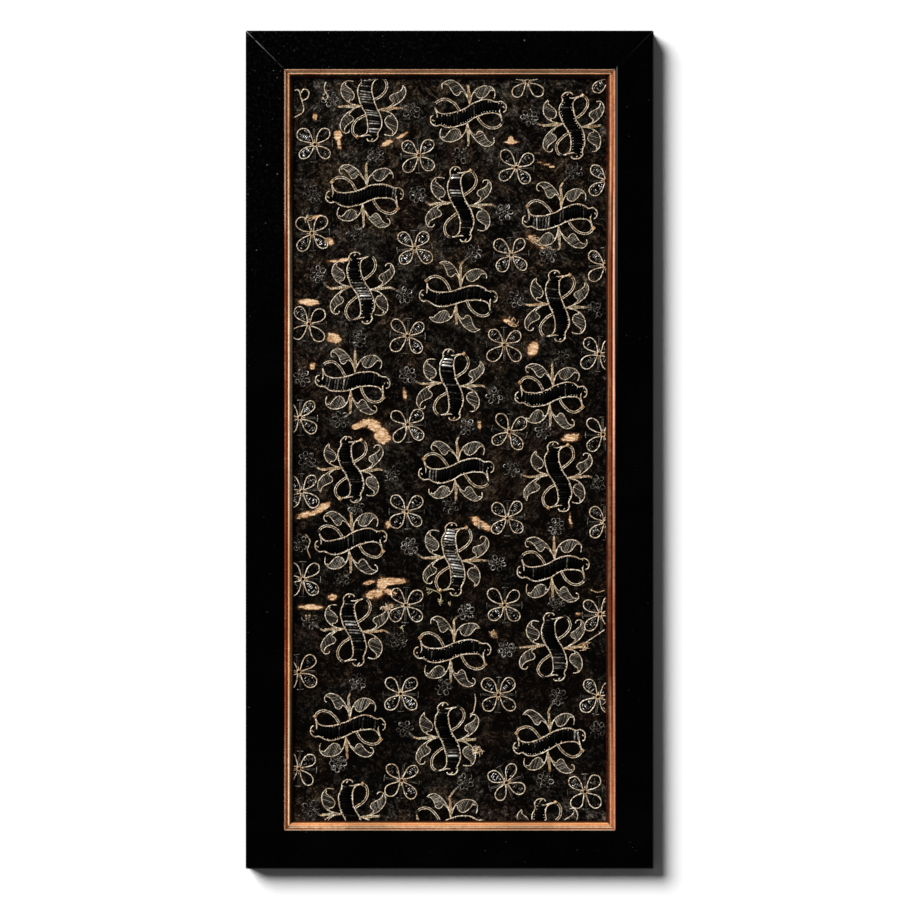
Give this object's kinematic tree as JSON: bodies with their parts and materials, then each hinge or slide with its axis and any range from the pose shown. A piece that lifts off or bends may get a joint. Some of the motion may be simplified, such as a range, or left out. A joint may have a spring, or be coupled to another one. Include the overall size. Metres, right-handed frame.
{
  "type": "embroidered panel in a frame",
  "caption": "Dark velvet panel worked with couched gold cord scrolls and flowers, stretched flat behind a gilt slip in a plain black mitred frame.",
  "frame": {"origin": "under the middle of the frame, on the plane of its back", "axes": "+Z out of the worked face, +Y to the panel's top edge, +X to its right as seen from the front"},
  "size_m": [0.408, 0.8384, 0.024],
  "materials": {
    "frame_black": "ebonised and polished, with fine dust specks",
    "slip_gilt": "water gilt over red clay, rubbed on the beads",
    "velvet": "crushed dark velvet, worn to its tan ground in places",
    "gold_cord": "tarnished gold-wrapped cord",
    "metal_purl": "tarnished flat strip and purl, silver where it is clean",
    "board": "plain board"
  },
  "bodies": {
    "root": {"rail_top": "frame_black", "rail_bottom": "frame_black", "rail_left": "frame_black", "rail_right": "frame_black", "slip_top": "slip_gilt", "slip_bottom": "slip_gilt", "slip_left": "slip_gilt", "slip_right": "slip_gilt", "velvet_panel": "velvet", "backing_board": "board"}
  },
  "joints": []
}
